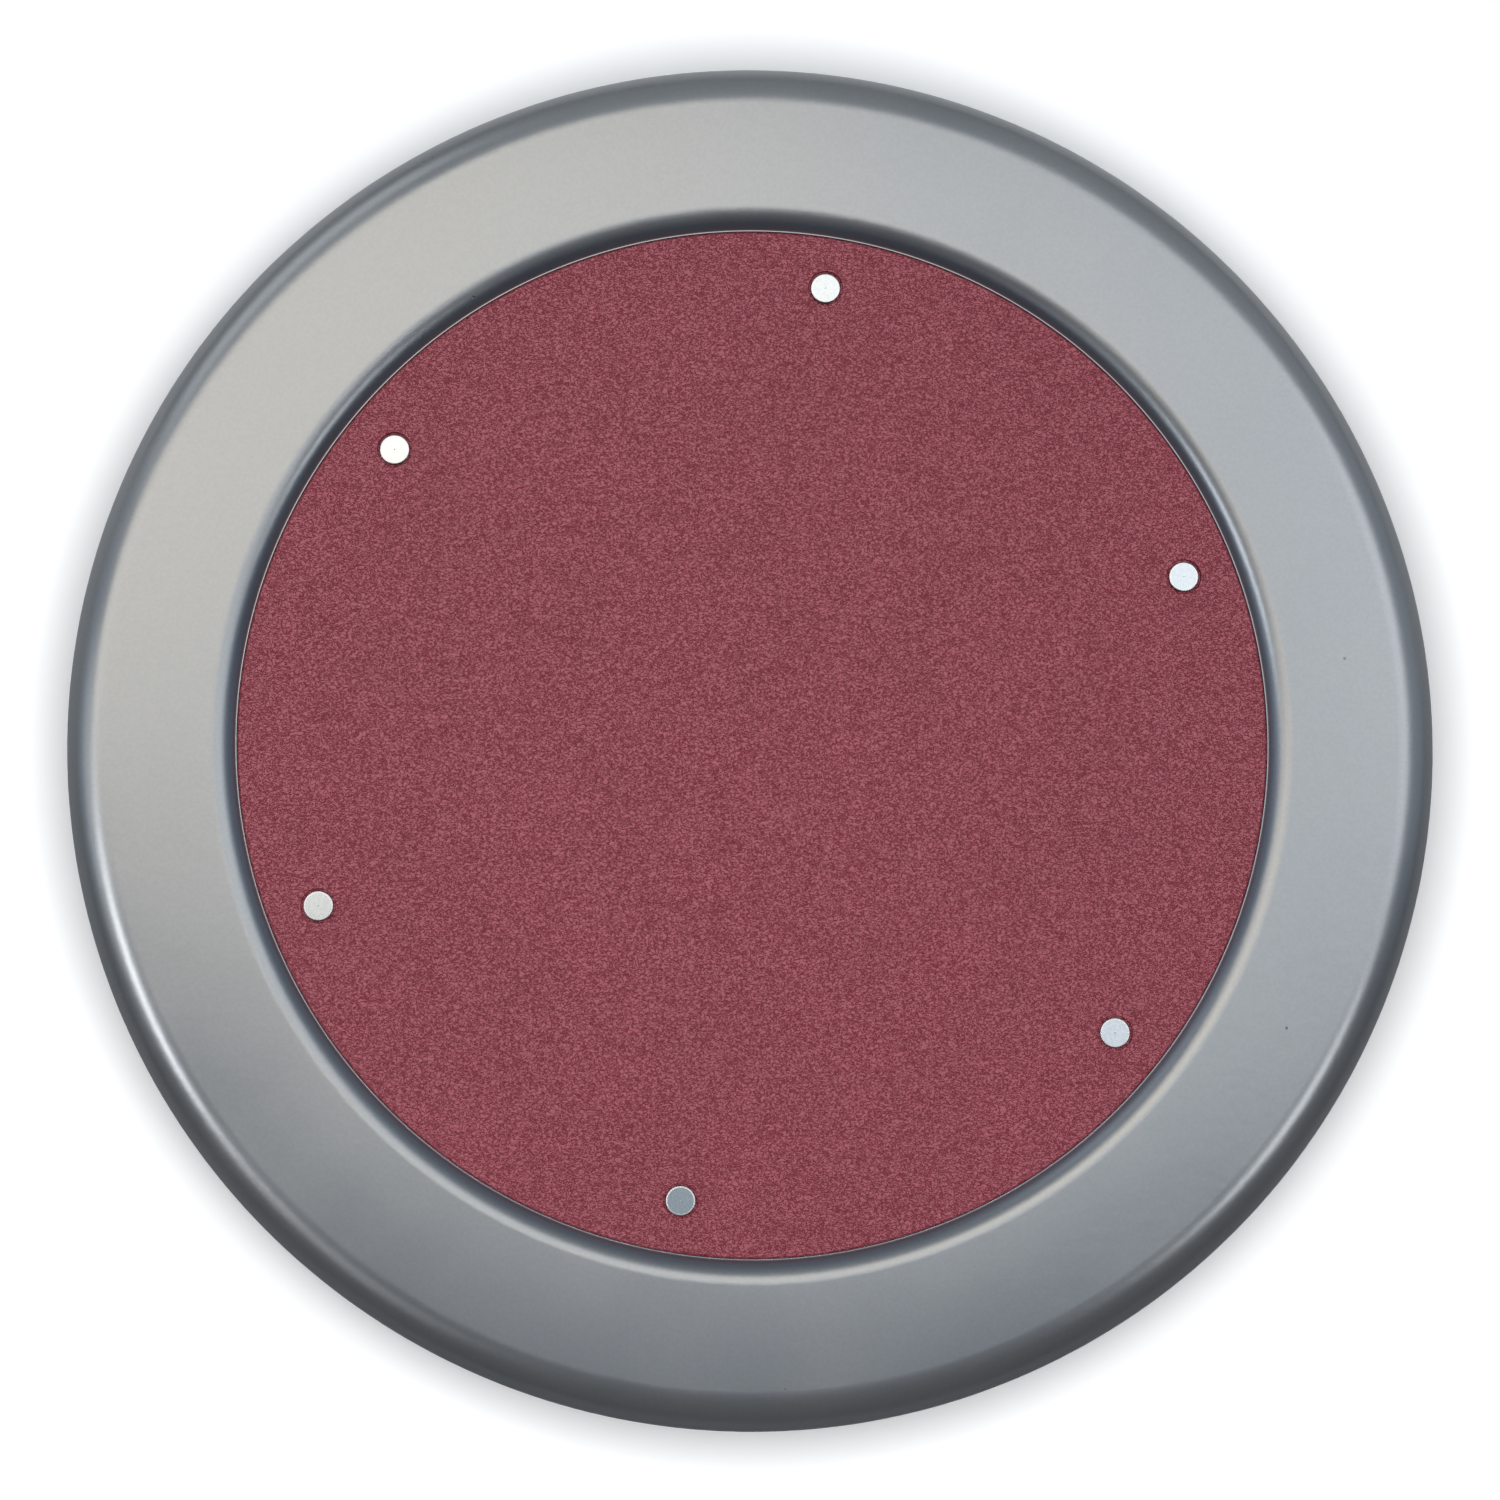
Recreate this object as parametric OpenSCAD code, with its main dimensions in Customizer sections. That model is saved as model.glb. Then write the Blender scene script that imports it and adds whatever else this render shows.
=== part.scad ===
// Low stand-on merry-go-round: a round deck that spins on a bolted-down pedestal.
// Millimetres, +Z up. The origin is the centre of the base plate's underside, on the ground.

/* [Deck] */
// Outside diameter of the deck
deck_d = 800; // [760:10:900]
// Height of the rim's top above the ground
deck_h = 170; // [165:1:190]
// Width of the rim, from the tread's recess to the outside
rim_w = 99.5; // [94:0.5:110]
// Thickness of the rim, from its top to its underside
rim_t = 70; // [68:1:74]
// Radius of the rim's upper and lower outer edges
rim_round = 25; // [18:1:30]
// Radius of the rim's lip round the tread
rim_inner_round = 17; // [14:1:18]
// Wall of the hollow rim moulding
rim_wall = 6; // [5:0.5:7]

/* [Tread] */
// Depth of the tread's face below the rim's top
tread_drop = 8; // [8:1:10]
// Thickness of the tread plate
tread_t = 15; // [14:1:16]
// Gap between the tread plate's edge and the rim
tread_gap = 0.5; // [0.5:0.5:3]
// Distance from the tread plate's edge to its bolts
bolt_inset = 30; // [26:1:32]
// Turn of the first tread bolt from +X, in degrees
bolt_turn = 21; // [0:1:59]
// Number of bolts that hold the tread, and of arms between them
bolt_n = 6; // [5:1:8]

/* [Base] */
// Diameter of the base plate
base_d = 380; // [360:10:460]
// Thickness of the base plate
base_t = 12; // [10:1:15]
// Bolt circle of the ground anchors
anchor_pcd = 320; // [300:5:330]
// Diameter of the holes for the ground anchors
anchor_hole_d = 18; // [14:1:20]
// Outside diameter of the bearing housing
housing_d = 120; // [116:1:124]

/* [Hidden] */
$fn = 96;
fit = 0.05;           // radial clearance where one piece sits on or in another
run = 0.3;            // clearance between pieces that turn past each other

// Rim and tread levels
rim_bottom = deck_h - rim_t;
deck_r = deck_d / 2;
recess_r = deck_r - rim_w;
tread_r = recess_r - tread_gap;
tread_top = deck_h - tread_drop;
tread_bottom = tread_top - tread_t;
flange_t = 12;        // rim's inner flange, which the tread lies on
flange_bottom = tread_bottom - flange_t;
flange_inner_r = recess_r - 52;
rim_foot_r = recess_r + 4;
lip_turn = 56.25;     // how far the lip rounds over, in degrees
lip_shoulder = 0.8;   // flat step between the lip and the recess
lip_r = recess_r + lip_shoulder + rim_inner_round * sin(lip_turn);
lip_bottom = deck_h - rim_inner_round * (1 - cos(lip_turn));
bolt_r = tread_r - bolt_inset;
bolt_step = 360 / bolt_n;

// Tread bolts, M10 with a plain round head over a square neck
head_d = 17.5;
head_t = 5;
head_chamfer = 0.5;
head_seat = 5.1;      // depth of the counterbore in the tread
head_bore_d = 20.6;
neck_w = 10;
neck_l = 6;
m10_r = 5;
m10_hole_d = 11;
sleeve_d = 14;
m10_washer_d = 20;
m10_washer_t = 2;
m10_nut_af = 17;
m10_nut_t = 10;
bolt_tail = 3;

// Carrier under the deck
carrier_ring_t = 6;
carrier_top = flange_bottom;
arm_top = carrier_top - carrier_ring_t;
arm_w = 40;
arm_h = 20;
arm_wall = 3;
arm_bottom = arm_top - arm_h;
arm_start_r = 95;
arm_end_r = rim_foot_r - 4;
hub_plate_r = 130;
hub_plate_t = 8;
hub_bolt_r = 70;
hub_bolt_n = 6;
spigot_r = 15;
spigot_h = 6;
pad_r = 52;
pad_hole_r = 16;

// Closing cover under the deck
cover_t = 3;
cover_rebate = 24;    // how far the cover reaches under the rim
cover_r = rim_foot_r + cover_rebate;
cover_hole_r = housing_d / 2 + 6;
cover_screw_n = 12;
cover_screw_r = rim_foot_r + 12;
bead_r = 200;
bead_w = 26;
bead_drop = 4;
insert_d = 9;
insert_l = 12;
vent_n = 3;
vent_r = deck_r - 44;
vent_d = 12;

// Spindle and bearings: [bore, outside, width, ball diameter, ball count]
upper = [50, 90, 20, 12.7, 10];
lower = [40, 80, 18, 11.9, 9];
flange_r = 90;
spindle_flange_t = 12;
spindle_flange_z = arm_top - spindle_flange_t;
housing_top = spindle_flange_z - 3;
seal_t = 8;
upper_clip_t = 3;
lower_clip_t = 2.5;
upper_z = housing_top - 0.5 - seal_t - 0.5 - upper_clip_t - upper[2] / 2;
lower_z = 30 + lower[2] / 2;
upper_seat = upper_z - upper[2] / 2;
lower_seat = lower_z + lower[2] / 2;
waist_r = 36;         // bore between the two bearings
seal_journal_r = 30;
lock_nut_r = 29;
lock_nut_t = 11;
tab_washer_t = 1.25;
spindle_end = 15.5;
keyway_w = 6;
keyway_d = 2.5;
end_cover_t = 10;

// Ribs between the housing and the base plate
rib_n = 6;
rib_t = 8;
rib_reach = 105;
rib_rise = 70;
rib_toe = 14;
rib_top = 16;
rib_clip = 8;         // corner left off for the housing's weld

// ---------- shared shapes ----------

// Copies its children n times round +Z, starting at the turn given.
module around(n, r, turn = 0) {
  for (i = [0 : n - 1])
    rotate([0, 0, turn + i * 360 / n])
      translate([r, 0, 0]) children();
}

// A tube standing on z.
module tube(r_out, r_in, z, h) {
  translate([0, 0, z])
    difference() {
      cylinder(r = r_out, h = h);
      translate([0, 0, -1]) cylinder(r = r_in, h = h + 2);
    }
}

// A rectangle in a turned section, given by its radii and heights.
module block(r0, r1, z0, z1) {
  translate([r0, z0]) square([r1 - r0, z1 - z0]);
}

// A hexagon nut or head blank with chamfered corners, standing on z.
module hex_blank(af, z, h) {
  corner = af / sqrt(3);
  bevel = (corner - af / 2) * 0.6;
  translate([0, 0, z])
    intersection() {
      cylinder(r = corner, h = h, $fn = 6);
      rotate_extrude()
        polygon([
          [0, 0], [corner - bevel, 0], [corner + 0.01, bevel * 0.8],
          [corner + 0.01, h - bevel * 0.8], [corner - bevel, h], [0, h]
        ]);
    }
}

// ---------- base ----------

module base_plate() {
  color("silver")
    difference() {
      cylinder(r = base_d / 2, h = base_t);
      translate([0, 0, -1]) cylinder(r = housing_d / 2 + fit, h = base_t + 2);
      around(rib_n, anchor_pcd / 2, 180 / rib_n)
        translate([0, 0, -1]) cylinder(d = anchor_hole_d, h = base_t + 2);
    }
}

// Turned housing with a seat for each bearing, a waist between them and a groove for each ring.
module bearing_housing() {
  upper_groove = upper_z + upper[2] / 2;
  lower_groove = lower_z - lower[2] / 2 - lower_clip_t;
  color("silver")
    rotate_extrude()
      difference() {
        block(waist_r, housing_d / 2, 0, housing_top);
        block(0, upper[1] / 2 + fit, upper_seat, housing_top + 1);
        block(0, lower[1] / 2 + fit, -1, lower_seat);
        block(0, upper[1] / 2 + 1.8, upper_groove, upper_groove + upper_clip_t + 0.1);
        block(0, lower[1] / 2 + 1.8, lower_groove - 0.1, lower_groove + lower_clip_t);
      }
}

module housing_ribs() {
  root = housing_d / 2 + fit;
  foot = base_t;
  color("silver")
    for (i = [0 : rib_n - 1])
      rotate([0, 0, i * 360 / rib_n])
        translate([0, rib_t / 2, 0])
          rotate([90, 0, 0])
            linear_extrude(height = rib_t)
              polygon([
                [root + rib_clip, foot], [root + rib_reach, foot],
                [root + rib_reach, foot + rib_toe], [root + rib_top, foot + rib_rise],
                [root, foot + rib_rise], [root, foot + rib_clip]
              ]);
}

// Pressed cap that closes the housing's lower end.
module housing_end_cover() {
  r = lower[1] / 2 - fit;
  color("dimgray")
    rotate_extrude()
      difference() {
        block(0, r, 2, 2 + end_cover_t);
        block(0, r - 3, 4, 3 + end_cover_t);
      }
}

// ---------- bearings ----------

// Radii of one bearing's parts, from its table row.
groove_open = 0.25;   // how much wider than the ball the groove is
ball_play = 0.05;     // gap between ball and groove
land = 0.3;           // height of a race's shoulder, as a share of the ball
function pitch_r(b) = (b[0] + b[1]) / 4;
function inner_land(b) = pitch_r(b) - b[3] * land;
function outer_land(b) = pitch_r(b) + b[3] * land;

module outer_race(b, z) {
  groove_r = b[3] / 2 + groove_open;
  color("lightgray")
    translate([0, 0, z])
      rotate_extrude()
        difference() {
          block(outer_land(b), b[1] / 2, -b[2] / 2, b[2] / 2);
          translate([pitch_r(b) + b[3] / 2 + ball_play - groove_r, 0]) circle(r = groove_r);
        }
}

module inner_race(b, z) {
  groove_r = b[3] / 2 + groove_open;
  color("lightgray")
    translate([0, 0, z])
      rotate_extrude()
        difference() {
          block(b[0] / 2, inner_land(b), -b[2] / 2, b[2] / 2);
          translate([pitch_r(b) - b[3] / 2 - ball_play + groove_r, 0]) circle(r = groove_r);
        }
}

module balls(b, z) {
  color("gainsboro")
    translate([0, 0, z]) around(b[4], pitch_r(b)) sphere(d = b[3]);
}

// One-piece cage: a band with a round pocket for each ball.
module cage(b, z) {
  pocket_r = b[3] / 2 + 0.25;
  band = pocket_r + 0.7;
  color("goldenrod")
    translate([0, 0, z])
      difference() {
        tube(pitch_r(b) + 1.6, pitch_r(b) - 1.6, -band, 2 * band);
        around(b[4], pitch_r(b)) rotate([0, 90, 0]) cylinder(r = pocket_r, h = 10, center = true);
      }
}

// The two rubber seals in the outer race's mouths.
module bearing_seals(b, z) {
  color("black")
    for (side = [-1, 1])
      translate([0, 0, z + side * (b[2] / 2 - 1.1)])
        tube(outer_land(b) - fit, inner_land(b) + run, -0.6, 1.2);
}

// Open snap ring with two drilled lugs, lying in a groove.
module retaining_ring(bore_r, z, t) {
  lug_r = 3.4;
  lug_hole_r = 1.2;
  lug_turn = 540 / bore_r;
  opening = 8;
  color("dimgray")
    translate([0, 0, z])
      linear_extrude(height = t)
        difference() {
          union() {
            difference() {
              circle(r = bore_r + 1.5);
              circle(r = bore_r - 3.2);
            }
            for (side = [-1, 1])
              rotate(side * lug_turn) translate([bore_r - 4.6, 0]) circle(r = lug_r);
          }
          translate([bore_r - 9, -opening / 2]) square([18, opening]);
          for (side = [-1, 1])
            rotate(side * lug_turn) translate([bore_r - 4.9, 0]) circle(r = lug_hole_r);
        }
}

// Radial lip seal: a steel-backed ring with a spring-loaded lip on the spindle.
module shaft_seal() {
  z = upper_z + upper[2] / 2 + upper_clip_t + 0.5;
  r = upper[1] / 2 - fit;
  lip = seal_journal_r + run;
  color("black")
    rotate_extrude()
      difference() {
        block(lip, r, z, z + seal_t);
        block(lip + 5, r - 3, z - 1, z + seal_t - 2.5);
        translate([lip + 5, z + 2.6]) circle(r = 1.3);
        polygon([[lip - 1, z - 1], [lip + 1.6, z - 1], [lip - 0.01, z + 2.2], [lip - 1, z + 2.2]]);
        polygon([
          [lip - 1, z + 2.8], [lip - 0.01, z + 2.8],
          [lip + 1.8, z + seal_t + 1], [lip - 1, z + seal_t + 1]
        ]);
      }
}

module shaft_seal_spring() {
  z = upper_z + upper[2] / 2 + upper_clip_t + 0.5;
  color("silver")
    rotate_extrude() translate([seal_journal_r + run + 5, z + 2.6]) circle(r = 1.2);
}

// ---------- spindle ----------

module spindle() {
  journal_top = upper_z + upper[2] / 2;
  color("silver")
    difference() {
      rotate_extrude()
        union() {
          block(0, spigot_r - fit, spindle_flange_z, arm_top + spigot_h);
          block(0, flange_r, spindle_flange_z, arm_top);
          block(0, seal_journal_r, journal_top, spindle_flange_z + 1);
          block(0, upper[0] / 2 - fit, upper_seat, journal_top + 1);
          block(0, lower[0] / 2 - fit, spindle_end, upper_seat + 1);
        }
      around(hub_bolt_n, hub_bolt_r)
        translate([0, 0, spindle_flange_z - 1]) cylinder(r = m10_r + fit, h = spindle_flange_t + 2);
      translate([lower[0] / 2 - keyway_d, -keyway_w / 2, spindle_end - 1])
        cube([keyway_d + 1, keyway_w, 30 - spindle_end + 1]);
    }
}

module bearing_spacer() {
  color("silver")
    tube(29, lower[0] / 2 + fit, lower_seat, upper_seat - lower_seat - 0.02);
}

module lock_tab_washer() {
  z = lower_z - lower[2] / 2 - tab_washer_t;
  tabs = 13;
  color("silver")
    union() {
      difference() {
        tube(31, lower[0] / 2 + 4 * fit, z, tab_washer_t);
        around(tabs, 31, 180 / tabs)
          translate([-1.8, -2.2, z - 1]) cube([4, 4.4, tab_washer_t + 2]);
      }
      translate([lower[0] / 2 - keyway_d + 0.3, -keyway_w / 2 + 0.3, z])
        cube([keyway_d + 1, keyway_w - 0.6, tab_washer_t]);
    }
}

// Round slotted nut that clamps both inner races and their spacer.
module spindle_lock_nut() {
  z = lower_z - lower[2] / 2 - tab_washer_t - lock_nut_t - 0.02;
  color("dimgray")
    difference() {
      translate([0, 0, z]) cylinder(r = lock_nut_r, h = lock_nut_t);
      translate([0, 0, z - 1]) cylinder(r = lower[0] / 2, h = lock_nut_t + 2);
      around(4, lock_nut_r, 45)
        translate([-3, -3.5, z - 1]) cube([5, 7, lock_nut_t + 2]);
    }
}

// ---------- carrier ----------

module hub_plate() {
  color("silver")
    difference() {
      translate([0, 0, arm_top]) cylinder(r = hub_plate_r, h = hub_plate_t);
      translate([0, 0, arm_top - 1]) cylinder(r = spigot_r, h = hub_plate_t + 2);
      around(hub_bolt_n, hub_bolt_r)
        translate([0, 0, arm_top - 1]) cylinder(d = m10_hole_d, h = hub_plate_t + 2);
    }
}

module hub_washers() {
  color("gainsboro")
    around(hub_bolt_n, hub_bolt_r)
      tube(m10_washer_d / 2, m10_r + 0.25, arm_top + hub_plate_t, m10_washer_t);
}

module hub_bolts() {
  seat = arm_top + hub_plate_t + m10_washer_t;
  color("gainsboro")
    around(hub_bolt_n, hub_bolt_r)
      union() {
        hex_blank(16, seat, 6.4);
        translate([0, 0, spindle_flange_z + 1])
          cylinder(r = m10_r, h = seat - spindle_flange_z - 0.5);
      }
}

// Rectangular tubes from the hub out to the carrier ring, midway between the tread bolts.
module carrier_arms() {
  length = arm_end_r - arm_start_r;
  color("silver")
    for (i = [0 : bolt_n - 1])
      rotate([0, 0, bolt_turn + (i + 0.5) * bolt_step])
        translate([arm_start_r, -arm_w / 2, arm_bottom])
          difference() {
            cube([length, arm_w, arm_h]);
            translate([-1, arm_wall, arm_wall])
              cube([length + 2, arm_w - 2 * arm_wall, arm_h - 2 * arm_wall]);
          }
}

module carrier_ring() {
  color("silver")
    difference() {
      tube(rim_foot_r - 2, flange_inner_r - 2, arm_top, carrier_ring_t);
      around(bolt_n, bolt_r, bolt_turn)
        translate([0, 0, arm_top - 1]) cylinder(d = m10_hole_d, h = carrier_ring_t + 2);
    }
}

// Rubber pad that carries the middle of the tread.
module centre_pad() {
  z = arm_top + hub_plate_t;
  color("black") tube(pad_r, pad_hole_r, z, tread_bottom - z);
}

// ---------- rim ----------

// Outside of the rim's section: a rounded bar with a flange under the tread.
module rim_outline() {
  middle = deck_r - rim_round;
  difference() {
    union() {
      block(lip_r, middle, rim_bottom, deck_h);
      block(middle - 1, deck_r, rim_bottom + rim_round, deck_h - rim_round);
      translate([middle, deck_h - rim_round]) circle(r = rim_round);
      translate([middle, rim_bottom + rim_round]) circle(r = rim_round);
      intersection() {
        translate([lip_r, deck_h - rim_inner_round]) circle(r = rim_inner_round);
        block(recess_r + lip_shoulder, lip_r + 1, lip_bottom - 1, deck_h);
      }
      block(recess_r, lip_r + 1, flange_bottom, lip_bottom);
      block(rim_foot_r, middle, rim_bottom, flange_bottom + 1);
      block(flange_inner_r, recess_r + 1, flange_bottom, tread_bottom);
    }
    block(0, cover_r + 0.5, rim_bottom - 1, rim_bottom + cover_t);
  }
}

// Hollow inside the rim. Its inner foot stays solid for the cover's inserts.
module rim_hollow() {
  middle = deck_r - rim_round;
  inner = rim_foot_r + rim_wall;
  round_in = rim_round - rim_wall;
  foot_top = rim_bottom + cover_t + insert_l + 3;
  union() {
    polygon([
      [inner, foot_top], [inner, deck_h - rim_wall - 6], [inner + 6, deck_h - rim_wall],
      [middle, deck_h - rim_wall], [middle, rim_bottom + rim_wall],
      [cover_r + 10, rim_bottom + rim_wall], [cover_r + 6, rim_bottom + rim_wall + 4],
      [cover_r + 6, foot_top]
    ]);
    block(middle - 1, deck_r - rim_wall, rim_bottom + rim_round, deck_h - rim_round);
    translate([middle, deck_h - rim_round]) circle(r = round_in);
    translate([middle, rim_bottom + rim_round]) circle(r = round_in);
  }
}

module rim_ring() {
  color("slategray")
    difference() {
      rotate_extrude()
        difference() {
          rim_outline();
          rim_hollow();
        }
      around(bolt_n, bolt_r, bolt_turn)
        translate([0, 0, flange_bottom - 1]) cylinder(d = sleeve_d + 2 * fit, h = flange_t + 2);
      around(cover_screw_n, cover_screw_r, 15)
        translate([0, 0, rim_bottom + cover_t - 1])
          cylinder(d = insert_d + 2 * fit, h = insert_l + 1);
      around(vent_n, vent_r, 30)
        translate([0, 0, rim_bottom - 1]) cylinder(d = vent_d, h = rim_wall + 2);
    }
}

// Steel tubes that keep the bolts from crushing the rim's flange.
module flange_sleeves() {
  color("silver")
    around(bolt_n, bolt_r, bolt_turn)
      tube(sleeve_d / 2, m10_r + 0.3, flange_bottom, flange_t);
}

module vent_plugs() {
  color("black")
    around(vent_n, vent_r, 30)
      difference() {
        union() {
          translate([0, 0, rim_bottom - 1.5]) cylinder(d = vent_d + 5, h = 1.5);
          translate([0, 0, rim_bottom - 0.5]) cylinder(d = vent_d - 2 * fit, h = rim_wall + 2);
        }
        translate([0, 0, rim_bottom - 2]) cylinder(d = 4, h = rim_wall + 6);
      }
}

// ---------- tread ----------

module tread_plate() {
  edge = 1;
  color([0.55, 0.27, 0.33])
    difference() {
      rotate_extrude()
        polygon([
          [0, tread_bottom], [tread_r, tread_bottom], [tread_r, tread_top - edge],
          [tread_r - edge, tread_top], [0, tread_top]
        ]);
      around(bolt_n, bolt_r, bolt_turn) {
        translate([0, 0, tread_top - head_seat]) cylinder(d = head_bore_d, h = head_seat + 1);
        translate([0, 0, tread_bottom - 1]) cylinder(d = m10_hole_d, h = tread_t);
        translate([0, 0, tread_top - head_seat - neck_l / 2])
          cube([neck_w + 0.4, neck_w + 0.4, neck_l + 1], center = true);
      }
    }
}

// Plain-headed bolts. The square neck keeps each from turning while its nut is drawn up.
module tread_bolts() {
  seat = tread_top - head_seat;
  tail = arm_top - m10_washer_t - m10_nut_t - bolt_tail;
  color("gainsboro")
    around(bolt_n, bolt_r, bolt_turn)
      union() {
        translate([0, 0, seat])
          rotate_extrude()
            polygon([
              [0, 0], [head_d / 2, 0], [head_d / 2, head_t - head_chamfer],
              [head_d / 2 - head_chamfer, head_t], [0, head_t]
            ]);
        translate([-neck_w / 2, -neck_w / 2, seat - neck_l]) cube([neck_w, neck_w, neck_l + 1]);
        translate([0, 0, tail]) cylinder(r = m10_r, h = seat - tail);
      }
}

module tread_washers() {
  color("gainsboro")
    around(bolt_n, bolt_r, bolt_turn)
      tube(m10_washer_d / 2, m10_r + 0.25, arm_top - m10_washer_t, m10_washer_t);
}

module tread_lock_nuts() {
  z = arm_top - m10_washer_t - m10_nut_t;
  color("gainsboro")
    around(bolt_n, bolt_r, bolt_turn)
      difference() {
        union() {
          hex_blank(m10_nut_af, z + 2.5, m10_nut_t - 2.5);
          translate([0, 0, z]) cylinder(d = m10_nut_af - 2.6, h = 3);
        }
        translate([0, 0, z - 1]) cylinder(r = m10_r + fit, h = m10_nut_t + 2);
      }
}

// ---------- cover ----------

// Sheet cover with a pressed ring bead, a screw hole over each insert and drain holes.
module under_cover() {
  top = rim_bottom + cover_t;
  color("gainsboro")
    difference() {
      rotate_extrude()
        polygon([
          [cover_hole_r, rim_bottom], [bead_r - bead_w / 2 - bead_drop, rim_bottom],
          [bead_r - bead_w / 2, rim_bottom - bead_drop],
          [bead_r + bead_w / 2, rim_bottom - bead_drop],
          [bead_r + bead_w / 2 + bead_drop, rim_bottom], [cover_r, rim_bottom],
          [cover_r, top], [bead_r + bead_w / 2 + bead_drop - 1.2, top],
          [bead_r + bead_w / 2 - 1.2, top - bead_drop],
          [bead_r - bead_w / 2 + 1.2, top - bead_drop],
          [bead_r - bead_w / 2 - bead_drop + 1.2, top], [cover_hole_r, top]
        ]);
      around(cover_screw_n, cover_screw_r, 15)
        translate([0, 0, rim_bottom - 1]) cylinder(d = 6.6, h = cover_t + 2);
      around(bolt_n, bead_r, bolt_turn)
        translate([0, 0, rim_bottom - bead_drop - 1]) cylinder(d = 10, h = cover_t + 2);
    }
}

module cover_inserts() {
  color("goldenrod")
    around(cover_screw_n, cover_screw_r, 15)
      tube(insert_d / 2, 3 + fit, rim_bottom + cover_t, insert_l - 0.2);
}

// Low round-headed M6 socket screws.
module cover_screws() {
  color("gainsboro")
    around(cover_screw_n, cover_screw_r, 15)
      difference() {
        union() {
          translate([0, 0, rim_bottom]) cylinder(r = 3, h = 12);
          translate([0, 0, rim_bottom - 1.3]) cylinder(r = 5.25, h = 1.3);
          translate([0, 0, rim_bottom - 3.1]) cylinder(r1 = 3.4, r2 = 5.25, h = 1.8);
        }
        translate([0, 0, rim_bottom - 4]) cylinder(r = 2.3, h = 2.8, $fn = 6);
      }
}

// ---------- nodes ----------

base_plate();
bearing_housing();
housing_ribs();
housing_end_cover();
outer_race(upper, upper_z);  // upper_outer_race
inner_race(upper, upper_z);  // upper_inner_race
balls(upper, upper_z);  // upper_balls
cage(upper, upper_z);  // upper_cage
bearing_seals(upper, upper_z);  // upper_bearing_seals
outer_race(lower, lower_z);  // lower_outer_race
inner_race(lower, lower_z);  // lower_inner_race
balls(lower, lower_z);  // lower_balls
cage(lower, lower_z);  // lower_cage
bearing_seals(lower, lower_z);  // lower_bearing_seals
retaining_ring(upper[1] / 2, upper_z + upper[2] / 2, upper_clip_t);  // upper_retaining_ring
retaining_ring(lower[1] / 2, lower_z - lower[2] / 2 - lower_clip_t, lower_clip_t);  // lower_retaining_ring
shaft_seal();
shaft_seal_spring();
spindle();
bearing_spacer();
lock_tab_washer();
spindle_lock_nut();
hub_plate();
hub_bolts();
hub_washers();
carrier_arms();
carrier_ring();
centre_pad();
rim_ring();
flange_sleeves();
vent_plugs();
tread_plate();
tread_bolts();
tread_washers();
tread_lock_nuts();
under_cover();
cover_inserts();
cover_screws();
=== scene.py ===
import math

import bmesh
import bpy
from mathutils import Matrix, Vector


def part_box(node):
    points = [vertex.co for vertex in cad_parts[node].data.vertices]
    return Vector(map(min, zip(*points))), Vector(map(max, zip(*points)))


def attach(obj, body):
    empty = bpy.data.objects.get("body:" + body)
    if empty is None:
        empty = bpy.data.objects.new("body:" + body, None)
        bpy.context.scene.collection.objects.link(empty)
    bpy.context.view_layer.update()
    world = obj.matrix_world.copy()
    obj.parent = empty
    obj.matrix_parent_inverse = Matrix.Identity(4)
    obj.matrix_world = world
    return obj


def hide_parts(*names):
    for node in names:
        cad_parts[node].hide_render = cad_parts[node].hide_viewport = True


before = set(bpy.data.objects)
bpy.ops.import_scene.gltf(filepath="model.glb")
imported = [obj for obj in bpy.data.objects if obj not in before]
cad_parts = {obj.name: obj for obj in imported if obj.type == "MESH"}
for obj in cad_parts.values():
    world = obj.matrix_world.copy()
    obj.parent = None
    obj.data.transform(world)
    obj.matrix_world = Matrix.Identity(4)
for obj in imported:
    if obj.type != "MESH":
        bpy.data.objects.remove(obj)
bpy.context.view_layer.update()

# ---------------------------------------------------------------- viewpoint
# The deck is seen from almost straight above, from a little on the near side and to the left,
# through a long lens. The near side is -Y, so +Y is up in the frame.

rim_low, rim_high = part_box("rim_ring")

LENS_MM = 102.37
SENSOR_MM = 36.0
VIEW_DISTANCE = 2.5
VIEW_TILT = math.radians(5.09)
VIEW_TURN = math.radians(19.7)
TOP_TO_WIDEST = 0.025
AIM_ASIDE = Vector((-0.0017, -0.0043, 0))
widest_point = Vector((0, 0, rim_high.z - TOP_TO_WIDEST))
aim = widest_point + AIM_ASIDE

camera_data = bpy.data.cameras.new("camera")
camera_data.sensor_width = SENSOR_MM
camera_data.lens = LENS_MM
camera_data.clip_start = 0.05
camera_data.clip_end = 50.0
camera = bpy.data.objects.new("camera", camera_data)
bpy.context.scene.collection.objects.link(camera)
sideways = Vector((-math.sin(VIEW_TURN), -math.cos(VIEW_TURN), 0))
up_and_over = sideways * math.sin(VIEW_TILT) + Vector((0, 0, math.cos(VIEW_TILT)))
camera.location = widest_point + up_and_over * VIEW_DISTANCE
looking = (aim - camera.location).normalized()
right = looking.cross(Vector((0, 1, 0))).normalized()
upright = right.cross(looking)
camera.rotation_mode = "QUATERNION"
camera.rotation_quaternion = Matrix((right, upright, -looking)).transposed().to_quaternion()
bpy.context.scene.camera = camera

# ---------------------------------------------------------------- studio
# A pale seamless floor and a soft overhead light that gives the even shading and the shadow. Cards
# and strips round the deck show only as reflections in the glossy rim, which the surround makes
# darker towards the near side.

bpy.context.scene.view_settings.view_transform = "Standard"


def node_tools(tree):
    """The function that adds a node to a tree, and the one that joins two sockets."""

    def add(kind, **settings):
        node = tree.nodes.new(kind)
        for key, value in settings.items():
            setattr(node, key, value)
        return node

    def join(source, target):
        tree.links.new(source, target)

    return add, join


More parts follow.
